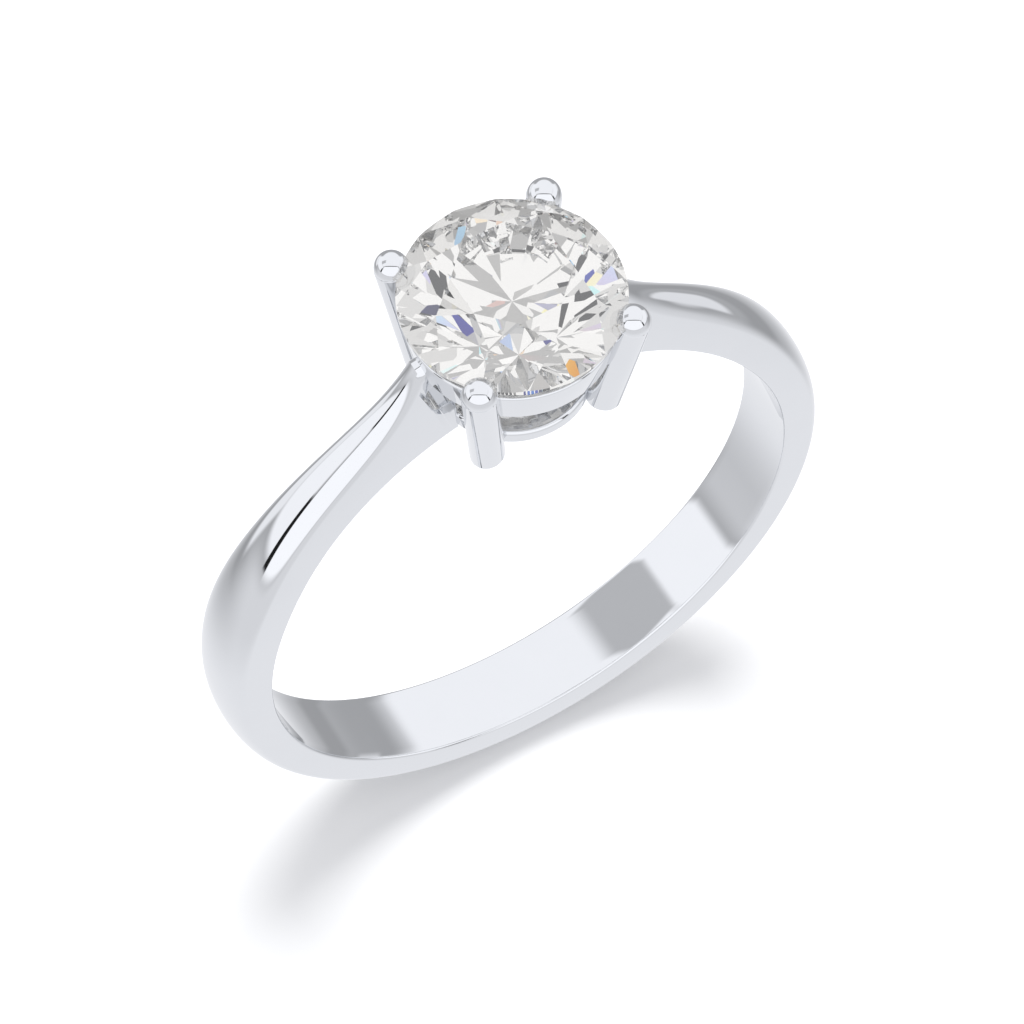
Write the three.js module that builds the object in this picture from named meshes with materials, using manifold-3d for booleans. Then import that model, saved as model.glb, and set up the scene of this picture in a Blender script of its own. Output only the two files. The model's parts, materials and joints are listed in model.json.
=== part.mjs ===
// Solitaire engagement ring. A plain band narrows towards the top, where its two shoulders sweep up to a
// basket head: two gallery rails and four ball-tipped prongs that hold a round brilliant-cut stone.
// Millimetres. Origin at the centre of the finger hole, +Y along the finger, +Z up through the stone.

import * as THREE from 'three';
import { ParametricGeometry } from 'three/addons/geometries/ParametricGeometry.js';
import { mergeVertices } from 'three/addons/utils/BufferGeometryUtils.js';
import Module from 'manifold-3d';

// Finger hole and band
const FINGER_RADIUS = 8.25;
const INNER_EDGE_BEVEL = 0.08;
const BAND_HALF_WIDTH = 1.15;
const SIDE_HEIGHT_BOTTOM = 0.8; // height of the flat side above the finger hole, at the bottom of the band
const SIDE_HEIGHT_TOP = 1.03; // the same under the head, before the shoulder's rise is added
const DOME_HEIGHT = 0.45; // height of the rounded back above the flat sides

// Shoulders: angles are measured round the hole from the bottom of the band
const TAPER_START_Z = 3;
const TAPER_BLEND = 1.5; // half the height over which the taper sets in
const TAPER_SLOPE = 0.1033; // half width lost for each millimetre of height
const SHOULDER_RISE = 1.64;
const SHOULDER_END_DEG = 164.5;
const SHOULDER_SWEEP_DEG = 7.6; // the rise shrinks by a factor e in this many degrees

// Stone: round brilliant, angles from the girdle plane
const STONE_RADIUS = 3.07;
const GIRDLE_TOP_Z = 12.07;
const GIRDLE_THICKNESS = 0.2; // at its thickest, between the scallops
const TABLE_RATIO = 0.53;
const CROWN_ANGLE_DEG = 34.5;
const STAR_LENGTH = 0.5;
const PAVILION_ANGLE_DEG = 40.75;
const LOWER_HALF_LENGTH = 0.81;
const STONE_TURN_DEG = 22.5; // turn of the stone about its axis

// Head: each prong's wire runs from a bottom centre to the centre of its ball tip
const PRONG_RADIUS = 0.49;
const PRONG_BOTTOM = { offset: 1.774, z: 8.06 };
const PRONG_TIP = { offset: 2.3245, z: 12.04 };
const UPPER_RAIL = { outer: 2.95, wall: 0.5, bottom: 10.34, top: 11.5, lean: 0.2, edge: 0.08 };
const LOWER_RAIL = { outer: 2.15, wall: 1.1, bottom: 8.12, top: 8.62, lean: 0, edge: 0.12 };

// Each shoulder's upper end follows the upper rail down to a small step, then stands clear of the lower rail
const HEAD_STEP = { top: 0.1, bottom: 0.2 }; // depths of the step below the windows' top
const HEAD_SPACE_BOTTOM_Z = 5;

// Open windows between each shoulder and the head, leaning like the prongs
const WINDOW = { bottom: 9.1, top: 10.1, x: 2.88, leanDeg: 11, corner: 0.22 };

const JOINT_GAP = 0.02; // solder seam left between touching pieces
const SEAT_GAP = 0.02; // clearance round the stone in its seat

const degrees = Math.PI / 180;
const wasm = await Module();
wasm.setup();

// ---------------------------------------------------------------- solids

function solidFrom(geometry) {
  const plain = geometry.clone();
  plain.deleteAttribute('normal');
  plain.deleteAttribute('uv');
  const merged = mergeVertices(plain, 1e-5);
  const vertProperties = new Float32Array(merged.attributes.position.array);
  const triVerts = new Uint32Array(merged.index.array);
  return new wasm.Manifold(new wasm.Mesh({ numProp: 3, vertProperties, triVerts }));
}

function geometryFrom(solid) {
  const mesh = solid.getMesh();
  const geometry = new THREE.BufferGeometry();
  geometry.setAttribute('position', new THREE.BufferAttribute(new Float32Array(mesh.vertProperties), 3));
  geometry.setIndex(new THREE.BufferAttribute(new Uint32Array(mesh.triVerts), 1));
  return geometry;
}

// A solid of revolution about +Z. The profile is [radius, height] pairs, from the bottom up.
function revolved(profile, segments) {
  const points = profile.map(([radius, height]) => new THREE.Vector2(radius, height));
  return new THREE.LatheGeometry(points, segments).rotateX(Math.PI / 2);
}

// A rail's section, with its edges broken all round. The outer radius is the one at the top, and the lean is how
// much narrower the rail is at the bottom.
function railProfile({ outer, wall, bottom, top, lean, edge }) {
  const inner = outer - wall;
  return [
    [inner - lean + edge, bottom],
    [outer - lean - edge, bottom],
    [outer - lean, bottom + edge],
    [outer, top - edge],
    [outer - edge, top],
    [inner + edge, top],
    [inner, top - edge],
    [inner - lean, bottom + edge],
    [inner - lean + edge, bottom],
  ];
}

// ---------------------------------------------------------------- shank

// Half the band's width at height z: constant low down, then a straight taper that sets in smoothly.
function halfWidthAt(z) {
  const above = z - TAPER_START_Z;
  if (above <= -TAPER_BLEND) return BAND_HALF_WIDTH;
  const drop = above >= TAPER_BLEND ? above : (above + TAPER_BLEND) ** 2 / (4 * TAPER_BLEND);
  return BAND_HALF_WIDTH - TAPER_SLOPE * drop;
}

// Radius of the edge between the flat side and the rounded back, at an angle from the bottom.
function sideRadiusAt(angleDeg) {
  const share = angleDeg / 180;
  const height = SIDE_HEIGHT_BOTTOM + (SIDE_HEIGHT_TOP - SIDE_HEIGHT_BOTTOM) * share ** 2;
  const past = Math.min(0, angleDeg - SHOULDER_END_DEG);
  return FINGER_RADIUS + height + SHOULDER_RISE * Math.exp(past / SHOULDER_SWEEP_DEG);
}

// The band's section, as [share of the half width, radius] pairs in a closed loop.
function sectionAt(angleDeg, domeSteps) {
  const side = sideRadiusAt(angleDeg);
  const inner = FINGER_RADIUS;
  const bevelShare = 1 - INNER_EDGE_BEVEL / BAND_HALF_WIDTH;
  const section = [
    [-1, inner + INNER_EDGE_BEVEL],
    [-bevelShare, inner],
    [bevelShare, inner],
    [1, inner + INNER_EDGE_BEVEL],
  ];
  for (let i = 0; i <= domeSteps; i += 1) {
    const turn = Math.PI * i / domeSteps;
    section.push([Math.cos(turn), side + DOME_HEIGHT * Math.sin(turn)]);
  }
  return section;
}

function shankRing() {
  const ringSteps = 120;
  const domeSteps = 10;
  const sectionPoints = sectionAt(0, domeSteps).length;
  const surface = (u, v, target) => {
    const turnDeg = 360 * (v % 1);
    const angleDeg = Math.min(turnDeg, 360 - turnDeg);
    const index = Math.round(u * sectionPoints) % sectionPoints;
    const [widthShare, radius] = sectionAt(angleDeg, domeSteps)[index];
    const z = -radius * Math.cos(turnDeg * degrees);
    target.set(-radius * Math.sin(turnDeg * degrees), widthShare * halfWidthAt(z), z);
  };
  return solidFrom(new ParametricGeometry(surface, sectionPoints, ringSteps));
}

// One of the two windows with rounded corners, as an outline on the ring's plane.
function windowOutline() {
  const { bottom, top, x, corner } = WINDOW;
  const outline = new THREE.Shape();
  outline.moveTo(0, bottom);
  outline.lineTo(x - corner, bottom);
  outline.quadraticCurveTo(x, bottom, x, bottom + corner);
  outline.lineTo(x, top - corner);
  outline.quadraticCurveTo(x, top, x - corner, top);
  outline.lineTo(0, top);
  outline.closePath();
  return outline;
}

// The space that the head takes out of the shoulders: both rails' outsides and the two windows.
function headSpace() {
  const lowerRadius = LOWER_RAIL.outer + JOINT_GAP;
  const upperTop = UPPER_RAIL.outer + JOINT_GAP;
  const lean = UPPER_RAIL.lean / (UPPER_RAIL.top - UPPER_RAIL.bottom);
  const upperBottom = upperTop - lean * (UPPER_RAIL.top - WINDOW.top);
  let space = solidFrom(revolved([
    [0, HEAD_SPACE_BOTTOM_Z],
    [lowerRadius, HEAD_SPACE_BOTTOM_Z],
    [lowerRadius, WINDOW.top - HEAD_STEP.bottom],
    [upperBottom, WINDOW.top - HEAD_STEP.top],
    [upperTop, UPPER_RAIL.top],
    [upperTop, PRONG_TIP.z],
    [0, PRONG_TIP.z],
  ], 80));
  const depth = 4 * BAND_HALF_WIDTH;
  for (const side of [-1, 1]) {
    const settings = { depth, bevelEnabled: false, curveSegments: 5 };
    const window = new THREE.ExtrudeGeometry(windowOutline(), settings);
    window.rotateX(Math.PI / 2).translate(-WINDOW.x, depth / 2, -WINDOW.top);
    window.rotateY(WINDOW.leanDeg * degrees).translate(WINDOW.x, 0, WINDOW.top);
    if (side < 0) window.rotateZ(Math.PI);
    space = space.add(solidFrom(window));
  }
  return space;
}

// ---------------------------------------------------------------- stone

// A facet is ground off by removing everything outside the plane through three points.
function ground(solid, a, b, c) {
  const size = 12;
  const normal = new THREE.Vector3().subVectors(b, a).cross(new THREE.Vector3().subVectors(c, a)).normalize();
  const centre = new THREE.Vector3(0, 0, GIRDLE_TOP_Z - GIRDLE_THICKNESS / 2);
  if (normal.dot(new THREE.Vector3().subVectors(a, centre)) < 0) normal.negate();
  const wheel = new THREE.BoxGeometry(size, size, size).translate(0, 0, size / 2);
  wheel.applyQuaternion(new THREE.Quaternion().setFromUnitVectors(new THREE.Vector3(0, 0, 1), normal));
  const foot = centre.clone().addScaledVector(normal, normal.dot(new THREE.Vector3().subVectors(a, centre)));
  wheel.translate(foot.x, foot.y, foot.z);
  return solid.subtract(solidFrom(wheel));
}

function roundBrilliant() {
  const crown = Math.tan(CROWN_ANGLE_DEG * degrees);
  const pavilion = Math.tan(PAVILION_ANGLE_DEG * degrees);
  const girdleBottomZ = GIRDLE_TOP_Z - GIRDLE_THICKNESS;
  const tableRadius = TABLE_RATIO * STONE_RADIUS;
  const tableZ = GIRDLE_TOP_Z + (STONE_RADIUS - tableRadius) * crown;
  const culetZ = girdleBottomZ - STONE_RADIUS * pavilion;
  const at = (turnDeg, radius, z) => {
    const turn = (turnDeg + STONE_TURN_DEG) * degrees;
    return new THREE.Vector3(radius * Math.cos(turn), radius * Math.sin(turn), z);
  };

  // Heights on a crown main and on a pavilion main, half a facet (22.5 degrees) away from its middle
  const halfFacet = Math.cos(22.5 * degrees);
  const starRadius = tableRadius * halfFacet + STAR_LENGTH * (STONE_RADIUS - tableRadius * halfFacet);
  const starZ = GIRDLE_TOP_Z + (STONE_RADIUS - starRadius * halfFacet) * crown;
  const lowerRadius = (1 - LOWER_HALF_LENGTH) * STONE_RADIUS;
  const lowerZ = girdleBottomZ - (STONE_RADIUS - lowerRadius * halfFacet) * pavilion;

  const blank = new THREE.CylinderGeometry(STONE_RADIUS, STONE_RADIUS, tableZ - culetZ + 1, 96);
  blank.rotateX(Math.PI / 2).translate(0, 0, (tableZ + culetZ - 1) / 2);
  let stone = solidFrom(blank);
  const culet = at(0, 0, culetZ);
  for (let turn = 0; turn < 360; turn += 45) {
    const table = at(turn, tableRadius, tableZ);
    const nextTable = at(turn + 45, tableRadius, tableZ);
    const star = at(turn + 22.5, starRadius, starZ);
    const previousStar = at(turn - 22.5, starRadius, starZ);
    const lower = at(turn + 22.5, lowerRadius, lowerZ);
    const previousLower = at(turn - 22.5, lowerRadius, lowerZ);
    stone = ground(stone, previousStar, table, star);
    stone = ground(stone, table, nextTable, star);
    stone = ground(stone, previousLower, culet, lower);
    for (const side of [-1, 1]) {
      const upperTip = at(turn + side * 22.5, starRadius, starZ);
      const lowerTip = at(turn + side * 22.5, lowerRadius, lowerZ);
      stone = ground(stone, upperTip, at(turn, STONE_RADIUS, GIRDLE_TOP_Z),
        at(turn + side * 22.5, STONE_RADIUS, GIRDLE_TOP_Z));
      stone = ground(stone, lowerTip, at(turn, STONE_RADIUS, girdleBottomZ),
        at(turn + side * 22.5, STONE_RADIUS, girdleBottomZ));
    }
  }
  return stone;
}

// The round seat that the stone sits in: its smooth envelope, a little larger all round.
function stoneSeat() {
  const crown = Math.tan(CROWN_ANGLE_DEG * degrees);
  const pavilion = Math.tan(PAVILION_ANGLE_DEG * degrees);
  const radius = STONE_RADIUS + SEAT_GAP;
  const bottom = GIRDLE_TOP_Z - GIRDLE_THICKNESS - SEAT_GAP / 2;
  const top = GIRDLE_TOP_Z + SEAT_GAP / 2;
  return solidFrom(revolved([
    [0, bottom - radius * pavilion],
    [radius, bottom],
    [radius, top],
    [radius / 2, top + radius / 2 * crown],
    [0, top + radius / 2 * crown],
  ], 96));
}

// ---------------------------------------------------------------- head

// A round wire with a domed tip, standing on the finger hole's surface and leaning outwards.
function prongWire(xSide, ySide, extra) {
  const bottom = new THREE.Vector3(xSide * PRONG_BOTTOM.offset, ySide * PRONG_BOTTOM.offset, PRONG_BOTTOM.z);
  const tip = new THREE.Vector3(xSide * PRONG_TIP.offset, ySide * PRONG_TIP.offset, PRONG_TIP.z);
  const length = bottom.distanceTo(tip);
  const radius = PRONG_RADIUS + extra;
  const profile = [[0, -1], [radius, -1]];
  const tipSteps = 6;
  for (let i = 0; i <= tipSteps; i += 1) {
    const turn = Math.PI / 2 * i / tipSteps;
    profile.push([i === tipSteps ? 0 : radius * Math.cos(turn), length + radius * Math.sin(turn)]);
  }
  const direction = new THREE.Vector3().subVectors(tip, bottom).normalize();
  const lean = new THREE.Quaternion().setFromUnitVectors(new THREE.Vector3(0, 0, 1), direction);
  return solidFrom(revolved(profile, 24).applyQuaternion(lean).translate(bottom.x, bottom.y, bottom.z));
}

const PRONG_PLACES = [
  ['prong_front_left', -1, -1],
  ['prong_front_right', 1, -1],
  ['prong_back_right', 1, 1],
  ['prong_back_left', -1, 1],
];

function withoutProngs(rail) {
  return PRONG_PLACES.reduce((solid, [, x, y]) => solid.subtract(prongWire(x, y, JOINT_GAP)), rail);
}

// ---------------------------------------------------------------- assembly

const whiteGold = () => new THREE.MeshStandardMaterial({ color: 0xdfe1e5, roughness: 0.08, metalness: 1 });
const diamond = () => new THREE.MeshStandardMaterial({ color: 0xf4f2ee, roughness: 0.02, metalness: 0 });

const ring = new THREE.Group();

function addPiece(name, solid, material) {
  const mesh = new THREE.Mesh(geometryFrom(solid), material);
  mesh.name = name;
  ring.add(mesh);
}

const fingerHole = solidFrom(new THREE.CylinderGeometry(FINGER_RADIUS, FINGER_RADIUS, 12, 120));

addPiece('shank', shankRing().subtract(headSpace()), whiteGold());

const seat = stoneSeat();
const lowerRail = solidFrom(revolved(railProfile(LOWER_RAIL), 56)).subtract(fingerHole);
addPiece('lower_gallery_rail', withoutProngs(lowerRail), whiteGold());
const upperRail = solidFrom(revolved(railProfile(UPPER_RAIL), 72)).subtract(seat);
addPiece('upper_gallery_rail', withoutProngs(upperRail), whiteGold());

for (const [name, x, y] of PRONG_PLACES) {
  addPiece(name, prongWire(x, y, 0).subtract(fingerHole).subtract(seat), whiteGold());
}

addPiece('round_brilliant_stone', roundBrilliant(), diamond());

export default ring;
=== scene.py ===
"""Solitaire engagement ring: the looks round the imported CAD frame.

The frame is in metres, with the origin at the centre of the finger hole, +Y along the finger and +Z up
through the stone. Shapes are worked out in millimetres and scaled once, when a piece is placed.
"""

import json
import math

import bmesh
import bpy
import numpy as np
from mathutils import Matrix, Vector


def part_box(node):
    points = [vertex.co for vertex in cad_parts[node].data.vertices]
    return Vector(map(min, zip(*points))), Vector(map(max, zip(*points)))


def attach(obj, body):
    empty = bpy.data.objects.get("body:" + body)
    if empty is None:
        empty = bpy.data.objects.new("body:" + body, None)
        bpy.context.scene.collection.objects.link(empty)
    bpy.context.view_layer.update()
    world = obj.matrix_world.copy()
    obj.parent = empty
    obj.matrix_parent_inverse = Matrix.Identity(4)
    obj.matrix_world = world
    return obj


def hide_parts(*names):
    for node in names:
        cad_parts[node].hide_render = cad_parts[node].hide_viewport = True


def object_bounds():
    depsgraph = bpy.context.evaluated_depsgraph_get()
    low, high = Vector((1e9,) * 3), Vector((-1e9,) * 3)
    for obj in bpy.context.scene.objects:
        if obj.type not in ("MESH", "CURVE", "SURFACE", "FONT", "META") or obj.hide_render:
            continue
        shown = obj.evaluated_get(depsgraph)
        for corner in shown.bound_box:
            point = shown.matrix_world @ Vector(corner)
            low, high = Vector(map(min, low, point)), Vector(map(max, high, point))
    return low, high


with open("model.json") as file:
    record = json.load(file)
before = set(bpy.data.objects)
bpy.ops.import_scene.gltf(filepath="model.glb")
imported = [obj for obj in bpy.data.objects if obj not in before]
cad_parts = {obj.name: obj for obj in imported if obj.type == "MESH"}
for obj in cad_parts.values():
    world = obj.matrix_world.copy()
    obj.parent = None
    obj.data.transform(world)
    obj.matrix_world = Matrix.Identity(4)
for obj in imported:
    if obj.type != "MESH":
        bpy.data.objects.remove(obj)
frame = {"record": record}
cad_low, cad_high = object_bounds()

MM = 0.001


def box_mm(node):
    """Lowest and highest corner of a CAD node, in millimetres."""
    low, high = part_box(node)
    return low / MM, high / MM


# ---------------------------------------------------------------- driving sizes, in millimetres and degrees

MOUNTS = {mount["name"]: mount for mount in frame["record"]["mounts"]}
FINGER_RADIUS = MOUNTS["finger_bore"]["dims"]["r_mm"]
BAND_HALF_WIDTH = box_mm("shank")[1].y
BAND_BOTTOM = -box_mm("shank")[0].z
DOME_HEIGHT = 0.45  # of the rounded back above the flat sides
SIDE_HEIGHT_BOTTOM = BAND_BOTTOM - DOME_HEIGHT - FINGER_RADIUS
SIDE_HEIGHT_TOP = 1.03
INNER_EDGE_ROUND = 0.08

TAPER_START_Z = 3
TAPER_BLEND = 1.5  # above and below its start, over which the taper sets in
TAPER_SLOPE = 0.1033
SHOULDER_RISE = 1.64
SHOULDER_END_DEG = 164.5  # round from the bottom, where the shoulder has risen fully
SHOULDER_SWEEP_DEG = 7.6

UPPER_RAIL_OUTER = box_mm("upper_gallery_rail")[1].x
UPPER_RAIL_BOTTOM = box_mm("upper_gallery_rail")[0].z
UPPER_RAIL_TOP = box_mm("upper_gallery_rail")[1].z
UPPER_RAIL_WALL = 0.5
UPPER_RAIL_LEAN = 0.2  # how much narrower it is at the bottom
UPPER_RAIL_ROUND = 0.07
LOWER_RAIL_OUTER = box_mm("lower_gallery_rail")[1].x
LOWER_RAIL_BOTTOM = box_mm("lower_gallery_rail")[0].z
LOWER_RAIL_TOP = box_mm("lower_gallery_rail")[1].z
LOWER_RAIL_WALL = 1.1
LOWER_RAIL_ROUND = 0.13

PRONG_RADIUS = 0.49
PRONG_FOOT = (1.774, 8.06)  # offset along X and along Y, and height
PRONG_TIP = (2.3245, 12.04)
PRONG_FOOT_ROUND = 0.12
PRONG_TIP_ROUND = 0.012  # of the edge between the wire and its domed tip
PRONG_TIP_EDGE = 0.02  # how far below the dome's centre that edge starts
PRONG_SIDES = {
    "prong_front_left": (-1, -1),
    "prong_front_right": (1, -1),
    "prong_back_right": (1, 1),
    "prong_back_left": (-1, 1),
}

WINDOW = {"bottom": 9.1, "top": 10.1, "x": 2.88, "lean_deg": 11, "corner": 0.22}
WINDOW_ROUND = 0.04

OVERLAP = 0.04  # how far the shoulders reach into the rails
SEAT_GAP = 0.01  # between the stone and the metal that holds it
SEAT_ROUND = 0.02

STONE_RADIUS = box_mm("round_brilliant_stone")[1].x
STONE_TABLE_Z = box_mm("round_brilliant_stone")[1].z
STONE_CULET_Z = box_mm("round_brilliant_stone")[0].z
TABLE_RATIO = 0.53
CROWN_TAN = math.tan(math.radians(34.5))
PAVILION_TAN = math.tan(math.radians(40.75))
STAR_LENGTH = 0.5
LOWER_HALF_LENGTH = 0.81
STONE_TURN_DEG = 22.5
MAIN_STEP_DEG = 45  # between two main facets
HALF_STEP_DEG = 22.5
DIAMOND_IOR = 2.42
GIRDLE_TOP_Z = STONE_TABLE_Z - (1 - TABLE_RATIO) * STONE_RADIUS * CROWN_TAN
GIRDLE_BOTTOM_Z = STONE_CULET_Z + STONE_RADIUS * PAVILION_TAN

# The camera stands this far round from the front, this high above the horizon and this far off
CAMERA_AZIMUTH_DEG = -30
CAMERA_ELEVATION_DEG = 58.13
CAMERA_DISTANCE = 161.3
CAMERA_TARGET_Z = 1.22
VIEW_WIDTH = 28.515  # what the picture spans at the target

FLOOR_SHARE = 0.8  # of the studio's light that reaches the floor

# How far the stone spreads colours: red, green and blue light leave it at slightly different heights
SPREAD = (-0.007, 0.0, 0.007)


# ---------------------------------------------------------------- mesh helpers


def make_piece(name, verts, faces, smooth_deg=35):
    """A mesh object whose vertices are still in millimetres. Edges sharper than smooth_deg stay sharp."""
    mesh = bpy.data.meshes.new(name)
    mesh.from_pydata([tuple(v) for v in verts], [], faces)
    mesh.validate()
    piece = bpy.data.objects.new(name, mesh)
    bpy.context.scene.collection.objects.link(piece)
    shade(piece, smooth_deg)
    return piece


def shade(piece, smooth_deg):
    piece.data.shade_smooth()
    piece.data.set_sharp_from_angle(angle=math.radians(smooth_deg))


def grid_faces(rows, columns, close_rows, close_columns):
    """Quads of a grid of vertices numbered row by row."""
    faces = []
    for i in range(rows if close_rows else rows - 1):
        for j in range(columns if close_columns else columns - 1):
            a, b = i % rows, (i + 1) % rows
            c, d = j % columns, (j + 1) % columns
            faces.append((a * columns + c, a * columns + d, b * columns + d, b * columns + c))
    return faces


def arc(centre, radius, start_deg, end_deg, steps):
    """Points on an arc, as (x, y) pairs."""
    turns = np.radians(np.linspace(start_deg, end_deg, steps + 1))
    return [(centre[0] + radius * math.cos(t), centre[1] + radius * math.sin(t)) for t in turns]


def rounded(corners, radii, steps=6):
    """A closed convex outline with its corners rounded, anticlockwise. Each corner has its own radius."""
    outline = []
    for i, (corner, radius) in enumerate(zip(corners, radii)):
        here = np.array(corner, float)
        before = np.array(corners[i - 1], float) - here
        after = np.array(corners[(i + 1) % len(corners)], float) - here
        before /= np.linalg.norm(before)
        after /= np.linalg.norm(after)
        half = math.acos(float(np.clip(before @ after, -1, 1))) / 2
        middle = (before + after) / np.linalg.norm(before + after)
        centre = here + middle * radius / math.sin(half)
        start = here + before * radius / math.tan(half) - centre
        end = here + after * radius / math.tan(half) - centre
        for share in np.linspace(0, 1, steps + 1):
            chord = start * (1 - share) + end * share
            outline.append(tuple(centre + chord * radius / np.linalg.norm(chord)))
    return outline


def turned(name, outline, segments=288):
    """A ring turned about the Z axis from a closed outline of (radius, height) pairs."""
    turns = np.linspace(0, 2 * math.pi, segments, endpoint=False)
    verts = [(r * math.cos(t), r * math.sin(t), z) for t in turns for r, z in outline]
    return make_piece(name, verts, grid_faces(segments, len(outline), True, True))


def turned_solid(name, profile, segments=288):
    """A solid turned about the Z axis from (radius, height) pairs that start and end on the axis."""
    turns = np.linspace(0, 2 * math.pi, segments, endpoint=False)
    rings = profile[1:-1]
    verts = [(r * math.cos(t), r * math.sin(t), z) for r, z in rings for t in turns]
    faces = [tuple(reversed(f)) for f in grid_faces(len(rings), segments, False, True)]
    first, last = len(verts), len(verts) + 1
    verts += [(0, 0, profile[0][1]), (0, 0, profile[-1][1])]
    top = (len(rings) - 1) * segments
    for j in range(segments):
        k = (j + 1) % segments
        faces.append((first, k, j))
        faces.append((last, top + j, top + k))
    piece = make_piece(name, verts, faces)
    face_outwards(piece)
    return piece


def face_outwards(piece):
    bm = bmesh.new()
    bm.from_mesh(piece.data)
    bmesh.ops.recalc_face_normals(bm, faces=bm.faces)
    bm.to_mesh(piece.data)
    bm.free()


def cut(piece, cutter, smooth_deg=35):
    """Takes cutter out of piece and removes cutter."""
    modifier = piece.modifiers.new("cut", "BOOLEAN")
    modifier.operation = "DIFFERENCE"
    modifier.solver = "EXACT"
    modifier.object = cutter
    graph = bpy.context.evaluated_depsgraph_get()
    mesh = bpy.data.meshes.new_from_object(piece.evaluated_get(graph))
    piece.modifiers.clear()
    piece.data = mesh
    bpy.data.objects.remove(cutter)
    shade(piece, smooth_deg)


def place(piece, node, material):
    """Scales a finished piece to metres and puts it in the frame, in place of its CAD node."""
    piece.data.transform(Matrix.Scale(MM, 4))
    piece.data.materials.clear()
    piece.data.materials.append(material)
    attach(piece, "root")
    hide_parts(node)


# ---------------------------------------------------------------- shank


def half_width_at(z):
    """Half the band's width at height z: constant low down, then a straight taper that sets in smoothly."""
    above = np.asarray(z, float) - TAPER_START_Z
    blend = np.clip(above + TAPER_BLEND, 0, None) ** 2 / (4 * TAPER_BLEND)
    return BAND_HALF_WIDTH - TAPER_SLOPE * np.where(above >= TAPER_BLEND, above, blend)


def side_radius_at(angle_deg):
    """Radius of the edge between the flat side and the rounded back, at an angle from the bottom."""
    growth = (SIDE_HEIGHT_TOP - SIDE_HEIGHT_BOTTOM) * (angle_deg / 180) ** 2
    rise = SHOULDER_RISE * math.exp(min(0, angle_deg - SHOULDER_END_DEG) / SHOULDER_SWEEP_DEG)
    return FINGER_RADIUS + SIDE_HEIGHT_BOTTOM + growth + rise


def band_section(angle_deg, dome_steps=64, edge_steps=6, hole_steps=8):
    """The band's outline, as (share of the half width, radius) pairs: hole, flat side, dome, flat side."""
    side = side_radius_at(angle_deg)
    edge_share = INNER_EDGE_ROUND / BAND_HALF_WIDTH
    points = []
    for turn in np.radians(np.linspace(0, 90, edge_steps + 1)):
        share = 1 - edge_share * (1 - math.cos(turn))
        points.append((-share, FINGER_RADIUS + INNER_EDGE_ROUND * (1 - math.sin(turn))))
    points += [(share, FINGER_RADIUS) for share in np.linspace(-1, 1, hole_steps + 1)[1:-1]]
    points += [(-share, radius) for share, radius in reversed(points[: edge_steps + 1])]
    for turn in np.radians(np.linspace(0, 180, dome_steps + 1)):
        points.append((math.cos(turn), side + DOME_HEIGHT * math.sin(turn)))
    return np.array(points)


def shank_ring(steps=720):
    verts = []
    for turn_deg in np.arange(steps) * 360 / steps:
        section = band_section(min(turn_deg, 360 - turn_deg))
        turn = math.radians(turn_deg)
        x = -section[:, 1] * math.sin(turn)
        z = -section[:, 1] * math.cos(turn)
        verts += zip(x, section[:, 0] * half_width_at(z), z)
    ring = make_piece("band_and_shoulders", verts, grid_faces(steps, len(verts) // steps, True, True))
    face_outwards(ring)
    return ring


def window_outline(grow):
    """A window's outline on the ring's plane, leaning like the prongs, grown by that much all round."""
    tall = WINDOW["top"] - WINDOW["bottom"] + 2 * grow
    radius = WINDOW["corner"] + grow
    inner_end = -3  # inside the head, where nothing is left to cut
    inner_radius = 0.01
    corners = [(inner_end, -grow), (grow, -grow), (grow, tall - grow), (inner_end, tall - grow)]
    outline = rounded(corners, [inner_radius, radius, radius, inner_radius], steps=10)
    lean = math.radians(WINDOW["lean_deg"])
    height = WINDOW["top"] - WINDOW["bottom"]
    placed = []
    for x, z in outline:
        z -= height
        turned_x = x * math.cos(lean) + z * math.sin(lean)
        turned_z = z * math.cos(lean) - x * math.sin(lean)
        placed.append((WINDOW["x"] + turned_x, WINDOW["top"] + turned_z))
    return placed


def window_cutter(side, steps=5):
    """A window's cutter, which widens where it leaves the flat sides and so rounds the window's rims."""
    clear_of_band = 2.0
    layers = [(clear_of_band, WINDOW_ROUND, False)]
    for turn in np.radians(np.linspace(0, 90, steps + 1)):
        depth = WINDOW_ROUND * (1 - math.cos(turn))
        layers.append((-depth, WINDOW_ROUND * (1 - math.sin(turn)), True))
    layers += [(depth, grow, on_side) for depth, grow, on_side in reversed(layers)]
    verts = []
    for i, (depth, grow, on_side) in enumerate(layers):
        y_sign = 1 if i < len(layers) // 2 else -1
        for x, z in window_outline(grow):
            y = float(half_width_at(z)) + depth if on_side else depth
            verts.append((side * x, y_sign * y, z))
    count = len(verts) // len(layers)
    faces = grid_faces(len(layers), count, False, True)
    faces.append(tuple(range(count)))
    faces.append(tuple(range(len(verts) - count, len(verts))))
    cutter = make_piece("window_cutter", verts, faces)
    face_outwards(cutter)
    return cutter


def head_cutter():
    """The space that the head takes out of the shoulders, which reach a little way into both rails."""
    slope = UPPER_RAIL_LEAN / (UPPER_RAIL_TOP - UPPER_RAIL_BOTTOM)
    upper = UPPER_RAIL_OUTER - OVERLAP
    lower = LOWER_RAIL_OUTER - OVERLAP
    inside_hole = 5
    step_bottom, step_top = WINDOW["top"] - 0.2, WINDOW["top"] - 0.1
    return turned_solid(
        "head_cutter",
        [
            (0, inside_hole),
            (lower, inside_hole),
            (lower, step_bottom),
            (upper - slope * (UPPER_RAIL_TOP - WINDOW["top"]), step_top),
            (upper, UPPER_RAIL_TOP),
            (upper, PRONG_TIP[1]),
            (0, PRONG_TIP[1]),
        ],
    )


# ---------------------------------------------------------------- head


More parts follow.
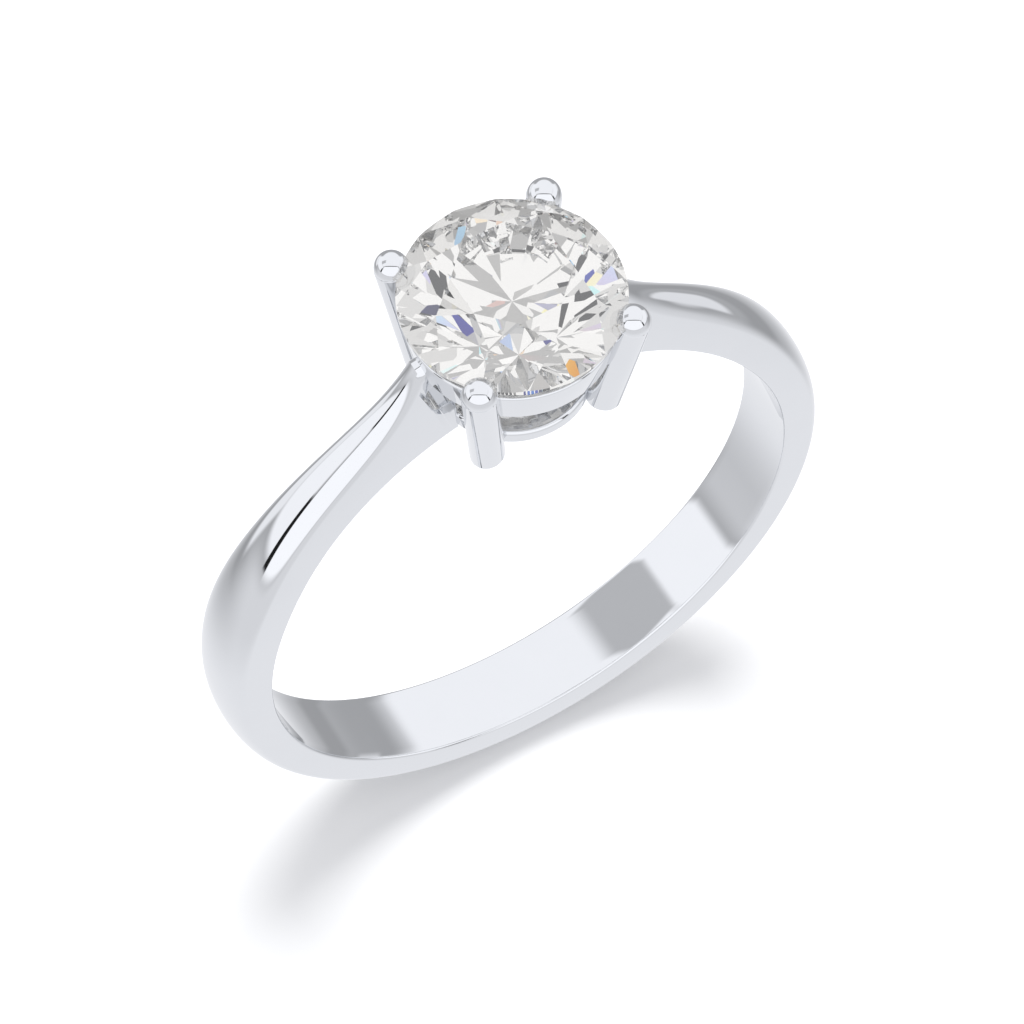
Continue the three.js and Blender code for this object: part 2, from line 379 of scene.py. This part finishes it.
def upper_rail():
    """A leaning rail whose inner top edge is cut away along the stone's pavilion."""
    inner = UPPER_RAIL_OUTER - UPPER_RAIL_WALL
    seat_low = GIRDLE_BOTTOM_Z - SEAT_GAP - (STONE_RADIUS - inner) * PAVILION_TAN
    seat_top = STONE_RADIUS - (GIRDLE_BOTTOM_Z - SEAT_GAP - UPPER_RAIL_TOP) / PAVILION_TAN
    corners = [
        (inner - UPPER_RAIL_LEAN, UPPER_RAIL_BOTTOM),
        (UPPER_RAIL_OUTER - UPPER_RAIL_LEAN, UPPER_RAIL_BOTTOM),
        (UPPER_RAIL_OUTER, UPPER_RAIL_TOP),
        (seat_top, UPPER_RAIL_TOP),
        (inner, seat_low),
    ]
    radii = [UPPER_RAIL_ROUND] * 3 + [SEAT_ROUND] * 2
    return turned("upper_rail", rounded(corners, radii))


def lower_rail():
    """A wide, low rail whose underside follows the finger hole."""
    inner = LOWER_RAIL_OUTER - LOWER_RAIL_WALL
    corners = [
        (inner, LOWER_RAIL_BOTTOM),
        (LOWER_RAIL_OUTER, LOWER_RAIL_BOTTOM),
        (LOWER_RAIL_OUTER, LOWER_RAIL_TOP),
        (inner, LOWER_RAIL_TOP),
    ]
    rail = turned("lower_rail", rounded(corners, [LOWER_RAIL_ROUND] * 4, steps=8))
    cut(rail, finger_hole_cutter())
    return rail


def finger_hole_cutter():
    half_length = 4
    cutter = turned_solid(
        "finger_hole_cutter",
        [(0, -half_length), (FINGER_RADIUS, -half_length), (FINGER_RADIUS, half_length), (0, half_length)],
        segments=720,
    )
    cutter.data.transform(Matrix.Rotation(math.pi / 2, 4, "X"))
    return cutter


def prong(name, x_side, y_side, around=96):
    """A round wire with a domed tip, whose softly rounded foot stands on the finger hole's surface."""
    foot = np.array([x_side * PRONG_FOOT[0], y_side * PRONG_FOOT[0], PRONG_FOOT[1]])
    tip = np.array([x_side * PRONG_TIP[0], y_side * PRONG_TIP[0], PRONG_TIP[1]])
    length = np.linalg.norm(tip - foot)
    axis = (tip - foot) / length
    across = np.cross(axis, [0, 0, 1.0])
    across /= np.linalg.norm(across)
    other = np.cross(axis, across)

    def on_hole(point):
        """How far along the axis from point the finger hole's surface lies."""
        a = axis[0] ** 2 + axis[2] ** 2
        b = point[0] * axis[0] + point[2] * axis[2]
        c = point[0] ** 2 + point[2] ** 2 - FINGER_RADIUS**2
        return (-b + math.sqrt(b * b - a * c)) / a

    rings = [(share * (PRONG_RADIUS - PRONG_FOOT_ROUND), 0.0, True) for share in (0.25, 0.5, 0.75, 1)]
    for turn in np.radians(np.linspace(0, 90, 9)[1:]):
        radius = PRONG_RADIUS - PRONG_FOOT_ROUND * (1 - math.sin(turn))
        rings.append((radius, PRONG_FOOT_ROUND * (1 - math.cos(turn)), True))
    rings.append((PRONG_RADIUS, length - PRONG_TIP_EDGE, False))
    dome = PRONG_RADIUS - PRONG_TIP_ROUND
    edge = arc((dome, PRONG_TIP_ROUND - PRONG_TIP_EDGE), PRONG_TIP_ROUND, 0, 90, 4)
    rings += [(radius, length + height, False) for radius, height in edge]
    for turn in np.radians(np.linspace(0, 90, 33)[1:-1]):
        rings.append((dome * math.cos(turn), length + PRONG_RADIUS * math.sin(turn), False))
    verts = []
    for radius, height, from_hole in rings:
        for turn in np.linspace(0, 2 * math.pi, around, endpoint=False):
            point = foot + radius * (math.cos(turn) * across + math.sin(turn) * other)
            start = on_hole(point) if from_hole else 0
            verts.append(point + (start + height) * axis)
    faces = grid_faces(len(rings), around, False, True)
    bottom, top = len(verts), len(verts) + 1
    verts += [foot + on_hole(foot) * axis, foot + (length + PRONG_RADIUS) * axis]
    last = (len(rings) - 1) * around
    for j in range(around):
        k = (j + 1) % around
        faces.append((bottom, k, j))
        faces.append((top, last + j, last + k))
    piece = make_piece(name, verts, faces, smooth_deg=60)
    face_outwards(piece)
    return piece


def seat_cutter():
    """The space of the stone in its seat: a hair larger than its smooth envelope."""
    radius = STONE_RADIUS + SEAT_GAP
    flat_radius = radius / 2
    flat_z = GIRDLE_TOP_Z + SEAT_GAP + flat_radius * CROWN_TAN
    return turned_solid(
        "seat_cutter",
        [
            (0, GIRDLE_BOTTOM_Z - SEAT_GAP - radius * PAVILION_TAN),
            (radius, GIRDLE_BOTTOM_Z - SEAT_GAP),
            (radius, GIRDLE_TOP_Z + SEAT_GAP),
            (flat_radius, flat_z),
            (0, flat_z),
        ],
    )


# ---------------------------------------------------------------- stone


def round_brilliant(girdle_segments=192):
    """A round brilliant, ground facet by facet from a round blank."""
    table_radius = TABLE_RATIO * STONE_RADIUS
    half_facet = math.cos(math.radians(HALF_STEP_DEG))
    star_radius = table_radius * half_facet + STAR_LENGTH * (STONE_RADIUS - table_radius * half_facet)
    star_z = GIRDLE_TOP_Z + (STONE_RADIUS - star_radius * half_facet) * CROWN_TAN
    lower_radius = (1 - LOWER_HALF_LENGTH) * STONE_RADIUS
    lower_z = GIRDLE_BOTTOM_Z - (STONE_RADIUS - lower_radius * half_facet) * PAVILION_TAN
    centre = Vector((0, 0, (GIRDLE_TOP_Z + GIRDLE_BOTTOM_Z) / 2))

    bm = bmesh.new()
    bmesh.ops.create_cone(
        bm,
        cap_ends=True,
        segments=girdle_segments,
        radius1=STONE_RADIUS,
        radius2=STONE_RADIUS,
        depth=2 * STONE_RADIUS,
        matrix=Matrix.Translation((0, 0, STONE_TABLE_Z - STONE_RADIUS)),
    )

    def at(turn_deg, radius, z):
        turn = math.radians(turn_deg + STONE_TURN_DEG)
        return Vector((radius * math.cos(turn), radius * math.sin(turn), z))

    def grind(a, b, c):
        """Removes everything outside the plane through three points."""
        normal = (b - a).cross(c - a).normalized()
        if normal.dot(a - centre) < 0:
            normal.negate()
        geometry = bm.verts[:] + bm.edges[:] + bm.faces[:]
        cut_through = bmesh.ops.bisect_plane(
            bm, geom=geometry, dist=1e-6, plane_co=a, plane_no=normal, clear_outer=True
        )
        edges = [e for e in cut_through["geom_cut"] if isinstance(e, bmesh.types.BMEdge)]
        rim = [e for e in edges if e.is_valid and len(e.link_faces) == 1]
        if len(rim) > 2:
            bmesh.ops.contextual_create(bm, geom=rim)

    culet = at(0, 0, STONE_CULET_Z)
    for turn in range(0, 360, MAIN_STEP_DEG):
        table = at(turn, table_radius, STONE_TABLE_Z)
        next_table = at(turn + MAIN_STEP_DEG, table_radius, STONE_TABLE_Z)
        star = at(turn + HALF_STEP_DEG, star_radius, star_z)
        previous_star = at(turn - HALF_STEP_DEG, star_radius, star_z)
        lower = at(turn + HALF_STEP_DEG, lower_radius, lower_z)
        previous_lower = at(turn - HALF_STEP_DEG, lower_radius, lower_z)
        grind(previous_star, table, star)
        grind(table, next_table, star)
        grind(previous_lower, culet, lower)
        for side in (-1, 1):
            upper_tip = at(turn + side * HALF_STEP_DEG, star_radius, star_z)
            lower_tip = at(turn + side * HALF_STEP_DEG, lower_radius, lower_z)
            ends = [turn, turn + HALF_STEP_DEG * side]
            top_edge = [at(end, STONE_RADIUS, GIRDLE_TOP_Z) for end in ends]
            bottom_edge = [at(end, STONE_RADIUS, GIRDLE_BOTTOM_Z) for end in ends]
            grind(upper_tip, *top_edge)
            grind(lower_tip, *bottom_edge)
    bmesh.ops.recalc_face_normals(bm, faces=bm.faces)
    mesh = bpy.data.meshes.new("brilliant")
    bm.to_mesh(mesh)
    bm.free()
    mesh.shade_flat()
    piece = bpy.data.objects.new("brilliant", mesh)
    bpy.context.scene.collection.objects.link(piece)
    return piece


# ---------------------------------------------------------------- materials


class Nodes:
    """Short calls for building a node tree."""

    def __init__(self, owner):
        owner.use_nodes = True
        self.tree = owner.node_tree
        self.tree.nodes.clear()

    def add(self, kind, inputs=None, **settings):
        node = self.tree.nodes.new(kind)
        for key, value in settings.items():
            setattr(node, key, value)
        for key, value in (inputs or {}).items():
            self.feed(node.inputs[key], value)
        return node

    def feed(self, socket, value):
        if isinstance(value, bpy.types.NodeSocket):
            self.tree.links.new(value, socket)
        else:
            socket.default_value = value

    def math(self, operation, a, b=0.0):
        return self.add("ShaderNodeMath", {0: a, 1: b}, operation=operation).outputs[0]

    def ramp(self, value, low, high, out_low=0.0, out_high=1.0):
        """A smooth step from out_low to out_high as value goes from low to high."""
        sockets = {"Value": value, "From Min": low, "From Max": high, "To Min": out_low, "To Max": out_high}
        return self.add("ShaderNodeMapRange", sockets, interpolation_type="SMOOTHSTEP").outputs[0]


def white_gold():
    """Polished rhodium-plated white gold, with the faint cloudiness that hand polishing leaves."""
    material = bpy.data.materials.new("white_gold")
    nodes = Nodes(material)
    place_on = nodes.add("ShaderNodeTexCoord").outputs["Object"]
    cloud = nodes.add(
        "ShaderNodeTexNoise", {"Vector": place_on, "Scale": 900.0, "Detail": 3.0, "Roughness": 0.6}
    ).outputs[0]
    polish = nodes.ramp(cloud, 0.35, 0.65, 0.025, 0.05)
    tint = nodes.add(
        "ShaderNodeMix",
        {"Factor": cloud, "A": (0.765, 0.775, 0.795, 1), "B": (0.785, 0.795, 0.812, 1)},
        data_type="RGBA",
    )
    shader = nodes.add(
        "ShaderNodeBsdfPrincipled",
        {"Base Color": tint.outputs["Result"], "Metallic": 1.0, "Roughness": polish},
    )
    nodes.add("ShaderNodeOutputMaterial", {"Surface": shader.outputs[0]})
    return material


def diamond():
    """Clear diamond, a little warm. Inside it a facet mirrors all of the light or lets all of it out."""
    material = bpy.data.materials.new("diamond")
    nodes = Nodes(material)
    mirrored = nodes.add("ShaderNodeFresnel", {"IOR": DIAMOND_IOR}).outputs[0]
    inside = nodes.add("ShaderNodeNewGeometry").outputs["Backfacing"]
    all_mirrored = nodes.math("GREATER_THAN", mirrored, 0.999)
    share = nodes.add("ShaderNodeMix", {"Factor": inside, "A": mirrored, "B": all_mirrored})
    bend = nodes.add(
        "ShaderNodeBsdfRefraction",
        {"Color": (0.9, 0.89, 0.868, 1), "Roughness": 0.0, "IOR": DIAMOND_IOR},
    )
    mirror = nodes.add("ShaderNodeBsdfGlossy", {"Color": (1, 1, 1, 1), "Roughness": 0.0})
    sockets = {0: share.outputs["Result"], 1: bend.outputs[0], 2: mirror.outputs[0]}
    surface = nodes.add("ShaderNodeMixShader", sockets)
    nodes.add("ShaderNodeOutputMaterial", {"Surface": surface.outputs[0]})
    return material


# ---------------------------------------------------------------- the ring

metal = white_gold()

shank = shank_ring()
cut(shank, head_cutter())
for side in (-1, 1):
    cut(shank, window_cutter(side))
place(shank, "shank", metal)

place(lower_rail(), "lower_gallery_rail", metal)
place(upper_rail(), "upper_gallery_rail", metal)

for node, (x_side, y_side) in PRONG_SIDES.items():
    wire = prong(node + "_wire", x_side, y_side)
    cut(wire, seat_cutter(), smooth_deg=60)
    place(wire, node, metal)

place(round_brilliant(), "round_brilliant_stone", diamond())


# ---------------------------------------------------------------- floor, light and camera


def add_floor():
    half = 0.5
    mesh = bpy.data.meshes.new("floor")
    corners = [(-half, -half, 0), (half, -half, 0), (half, half, 0), (-half, half, 0)]
    mesh.from_pydata(corners, [], [(0, 1, 2, 3)])
    floor = bpy.data.objects.new("floor", mesh)
    floor.location.z = cad_low.z
    bpy.context.scene.collection.objects.link(floor)
    material = bpy.data.materials.new("pale_floor")
    nodes = Nodes(material)
    shader = nodes.add(
        "ShaderNodeBsdfPrincipled",
        {"Base Color": (0.93, 0.93, 0.93, 1), "Roughness": 0.9, "Specular IOR Level": 0.0},
    )
    nodes.add("ShaderNodeOutputMaterial", {"Surface": shader.outputs[0]})
    mesh.materials.append(material)
    floor.visible_glossy = False
    floor.visible_transmission = False


class Sky:
    """A studio painted by direction: sideways and away as seen from the photographer's place, and up.

    The directions are fixed in the world. Both sides are the same, apart from panels that use sideways.
    """

    def __init__(self, nodes, spread=0.0):
        self.nodes = nodes
        direction = nodes.add("ShaderNodeTexCoord").outputs["Generated"]
        turned_in = nodes.add(
            "ShaderNodeVectorRotate",
            {"Vector": direction, "Axis": (0, 0, 1), "Angle": math.radians(-CAMERA_AZIMUTH_DEG)},
            rotation_type="AXIS_ANGLE",
        ).outputs[0]
        parts = nodes.add("ShaderNodeSeparateXYZ", {0: turned_in}).outputs
        self.sideways, self.away = parts["X"], parts["Y"]
        self.up = nodes.math("ADD", parts["Z"], spread)
        both_sides = nodes.math("ABSOLUTE", self.sideways)
        folded = nodes.add("ShaderNodeCombineXYZ", {0: both_sides, 1: self.away, 2: self.up})
        self.mirrored = folded.outputs[0]

    def beyond(self, plane, soft):
        """1 on one side of a plane through the ring and 0 on the other, with a soft edge."""
        sockets = {0: self.mirrored, 1: tuple(Vector(plane).normalized())}
        height = self.nodes.add("ShaderNodeVectorMath", sockets, operation="DOT_PRODUCT")
        return self.nodes.ramp(height.outputs["Value"], -soft, soft)

    def turns(self, start_deg, end_deg, soft):
        """From start to end, in degrees round from the photographer. 0 and 180 stand for no limit."""
        masks = []
        if start_deg > 0:
            turn = math.radians(start_deg)
            masks.append(self.beyond((math.cos(turn), math.sin(turn), 0), soft))
        if end_deg < 180:
            turn = math.radians(end_deg)
            masks.append(self.beyond((-math.cos(turn), -math.sin(turn), 0), soft))
        return masks

    def heights(self, start_deg, end_deg, soft):
        """From start to end, in degrees above the horizon."""
        low, high = math.sin(math.radians(start_deg)), math.sin(math.radians(end_deg))
        ramp = self.nodes.ramp
        return [ramp(self.up, low - soft, low + soft), ramp(self.up, high + soft, high - soft)]

    def paint(self, below, masks, grey):
        """Lays a panel of that grey, where all masks are 1, over what is painted so far."""
        mask = masks[0]
        for other in masks[1:]:
            mask = self.nodes.math("MULTIPLY", mask, other)
        sockets = {"Factor": mask, "A": below, "B": grey}
        return self.nodes.add("ShaderNodeMix", sockets, data_type="FLOAT").outputs["Result"]


def sky_on_metal(nodes):
    """What the metal and the floor see. Later panels lie over earlier ones."""
    sky = Sky(nodes)
    up = sky.up

    # Grey walls under a lighter ceiling
    light = sky.paint(0.45, [nodes.ramp(up, 0.3, 0.6)], 0.59)

    # A floor that is light in front and lightest straight below, with a darker band behind
    light = sky.paint(light, [nodes.ramp(up, 0.0, -0.3)], 0.51)
    light = sky.paint(light, [*sky.turns(95, 180, 0.3), *sky.heights(-26, -14, 0.05)], 0.41)
    light = sky.paint(light, [nodes.ramp(up, 0.05, -0.2), sky.beyond((0, -1, 0), 0.4)], 0.83)
    light = sky.paint(light, [nodes.ramp(up, -0.4, -0.85)], 0.95)

    # White softboxes behind and overhead
    light = sky.paint(light, [*sky.turns(130, 180, 0.1), nodes.ramp(up, 0.14, 0.45)], 1.06)
    overhead = [sky.beyond((-1, 0, 1.5), 0.06), sky.beyond((0, 1, 0.5), 0.02), nodes.ramp(up, 0.0, 0.3)]
    light = sky.paint(light, overhead, 1.1)

    # A black strip high in front, and a white card low at each side
    strip = [sky.beyond((0, -1, -0.5), 0.02), *sky.turns(0, 60, 0.05), nodes.ramp(up, 0.3, 0.4)]
    light = sky.paint(light, strip, 0.06)
    light = sky.paint(light, [*sky.turns(66, 140, 0.05), *sky.heights(0, 33, 0.05)], 1.12)

    # Behind the ring, a card below the horizon on the left and one at the horizon on the right
    low_left = [nodes.ramp(sky.sideways, -0.5, -0.62), nodes.ramp(sky.away, 0.2, 0.35)]
    light = sky.paint(light, [*low_left, *sky.heights(-18, 0, 0.05)], 1.02)
    low_right = [nodes.ramp(sky.sideways, 0.55, 0.65), nodes.ramp(sky.away, 0.3, 0.45)]
    light = sky.paint(light, [*low_right, *sky.heights(-8, 3, 0.03)], 0.92)

    # A black flag at each side, and between the two the white front card
    light = sky.paint(light, [*sky.turns(58, 68, 0.01), *sky.heights(-3, 22, 0.02)], 0.015)
    front = [sky.beyond((0, -1, -0.6), 0.012), *sky.turns(0, 60, 0.01), nodes.ramp(up, -0.12, -0.02)]
    light = sky.paint(light, front, 1.2)

    # A grey card high on the left
    card = [nodes.ramp(sky.sideways, -0.4, -0.46), nodes.ramp(sky.away, -0.06, 0.0)]
    card += [nodes.ramp(sky.away, 0.3, 0.24), *sky.heights(31, 57, 0.03)]
    return sky.paint(light, card, 0.58)


def sky_in_stone(nodes, spread):
    """What is seen through the stone, which differs from what the metal sees, painted the same way."""
    sky = Sky(nodes, spread)
    up = sky.up

    # A pale floor under grey walls and ceiling
    light = sky.paint(0.75, [nodes.ramp(up, -0.1, 0.1)], 0.51)

    # A white softbox behind, and overhead a grey half and a white half
    light = sky.paint(light, [*sky.turns(142, 180, 0.02), nodes.ramp(up, 0.08, 0.1)], 1.06)
    light = sky.paint(light, [sky.beyond((0, 1, 0.02), 0.015), nodes.ramp(up, 0.92, 0.94)], 0.55)
    light = sky.paint(light, [sky.beyond((0, -1, -0.02), 0.015), nodes.ramp(up, 0.85, 0.87)], 1.1)

    # White cards high in front and low at each side, and a light grey one low in front
    light = sky.paint(light, [*sky.turns(0, 62, 0.015), nodes.ramp(up, 0.57, 0.585)], 1.1)
    light = sky.paint(light, [*sky.turns(62, 118, 0.015), *sky.heights(1, 33, 0.015)], 1.16)
    light = sky.paint(light, [*sky.turns(0, 58, 0.015), *sky.heights(-4, 35, 0.015)], 0.8)

    # A black card round the photographer's place
    return sky.paint(light, [*sky.turns(0, 21, 0.01), *sky.heights(46, 61, 0.01)], 0.04)


def add_studio():
    """A white studio, a little bluish. What is seen through the stone is spread into colours."""
    world = bpy.data.worlds.new("studio")
    bpy.context.scene.world = world
    nodes = Nodes(world)
    on_metal = sky_on_metal(nodes)
    red, green, blue = [sky_in_stone(nodes, spread) for spread in SPREAD]
    through = nodes.add("ShaderNodeCombineColor", {0: red, 1: green, 2: blue}).outputs[0]
    plain = nodes.add("ShaderNodeCombineColor", {0: on_metal, 1: on_metal, 2: on_metal}).outputs[0]
    ray = nodes.add("ShaderNodeLightPath").outputs
    in_stone = nodes.math("GREATER_THAN", ray["Transmission Depth"], 0.5)
    seen = nodes.add("ShaderNodeMix", {"Factor": in_stone, "A": plain, "B": through}, data_type="RGBA")
    bluish = nodes.add(
        "ShaderNodeMix",
        {"Factor": 1.0, "A": seen.outputs["Result"], "B": (0.992, 1.0, 1.03, 1)},
        data_type="RGBA",
        blend_type="MULTIPLY",
    )
    # The floor gets less of it than the ring, so that the shadow is deep where they touch
    strength = nodes.ramp(ray["Is Diffuse Ray"], 0.0, 1.0, 1.0, FLOOR_SHARE)
    sockets = {"Color": bluish.outputs["Result"], "Strength": strength}
    background = nodes.add("ShaderNodeBackground", sockets)
    nodes.add("ShaderNodeOutputWorld", {"Surface": background.outputs[0]})


def add_key_light():
    """Soft light from above and behind, which lays the ring's shadow towards the camera."""
    lamp = bpy.data.lights.new("key", "SUN")
    lamp.energy = 2.2
    lamp.angle = math.radians(34)
    key = bpy.data.objects.new("key", lamp)
    key.rotation_mode = "QUATERNION"
    key.rotation_quaternion = Vector((0.24, 0.36, 1)).to_track_quat("Z", "Y")
    key.visible_glossy = False
    key.visible_transmission = False
    bpy.context.scene.collection.objects.link(key)


def add_camera():
    azimuth, elevation = math.radians(CAMERA_AZIMUTH_DEG), math.radians(CAMERA_ELEVATION_DEG)
    back = Vector(
        (
            math.sin(azimuth) * math.cos(elevation),
            -math.cos(azimuth) * math.cos(elevation),
            math.sin(elevation),
        )
    )
    data = bpy.data.cameras.new("camera")
    data.sensor_width = 36
    data.lens = data.sensor_width * CAMERA_DISTANCE / VIEW_WIDTH
    data.clip_start, data.clip_end = 0.005, 5
    camera = bpy.data.objects.new("camera", data)
    camera.location = (Vector((0, 0, CAMERA_TARGET_Z)) + back * CAMERA_DISTANCE) * MM
    camera.rotation_mode = "QUATERNION"
    camera.rotation_quaternion = (-back).to_track_quat("-Z", "Y")
    bpy.context.scene.collection.objects.link(camera)
    bpy.context.scene.camera = camera


add_floor()
add_studio()
add_key_light()
add_camera()

# Light is mirrored many times inside the stone before it comes out
STONE_BOUNCES = 48

scene = bpy.context.scene
scene.view_settings.view_transform = "Standard"
scene.view_settings.look = "None"
scene.cycles.max_bounces = STONE_BOUNCES
scene.cycles.transmission_bounces = STONE_BOUNCES
scene.cycles.glossy_bounces = STONE_BOUNCES
